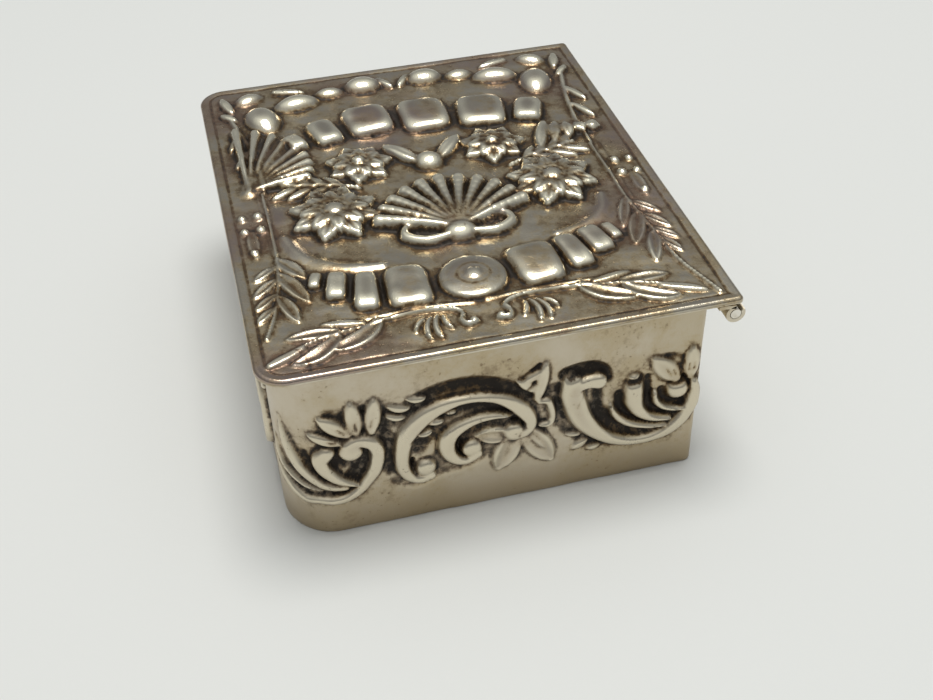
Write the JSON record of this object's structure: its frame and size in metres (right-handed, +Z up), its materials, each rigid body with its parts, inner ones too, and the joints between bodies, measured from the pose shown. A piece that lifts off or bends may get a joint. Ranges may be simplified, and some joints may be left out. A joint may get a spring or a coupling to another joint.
{
  "type": "stamp box",
  "caption": "Small hinged box for postage stamps in embossed sheet silver, with a gilt insert of side-by-side wells with hollow floors under an overhanging flat lid.",
  "frame": {"origin": "middle of the closed box on the surface it stands on", "axes": "+Z up, -Y to the front lip of the lid, +Y to the hinge, +X to the right seen from the front"},
  "size_m": [0.053, 0.0442, 0.0215],
  "materials": {
    "embossed_silver": "stamped silver sheet, worn bright on the high spots and dark with tarnish in the hollows",
    "plain_silver": "plain rolled silver sheet with a warm dull tarnish and fine scratches",
    "pin_silver": "drawn silver wire, rubbed bright",
    "gilt": "satin gilding over silver"
  },
  "bodies": {
    "box": {"wall_band": "embossed_silver", "back_wall": "plain_silver", "base_plate": "plain_silver", "insert_band": "gilt", "divider": "gilt", "stamp_well_left": "gilt", "stamp_well_right": "gilt", "body_hinge_leaf": "plain_silver"},
    "lid": {"lid_skin": "embossed_silver", "lid_plate": "plain_silver", "lid_bezel": "gilt", "lid_hinge_leaf": "plain_silver", "hinge_pin": "pin_silver"}
  },
  "joints": [
    {"name": "lid_hinge", "type": "hinge", "parent": "box", "child": "lid", "pos_m": [0, 0.02117, 0.0184], "axis": [-1, 0, 0], "range_deg": [0, 105]}
  ]
}
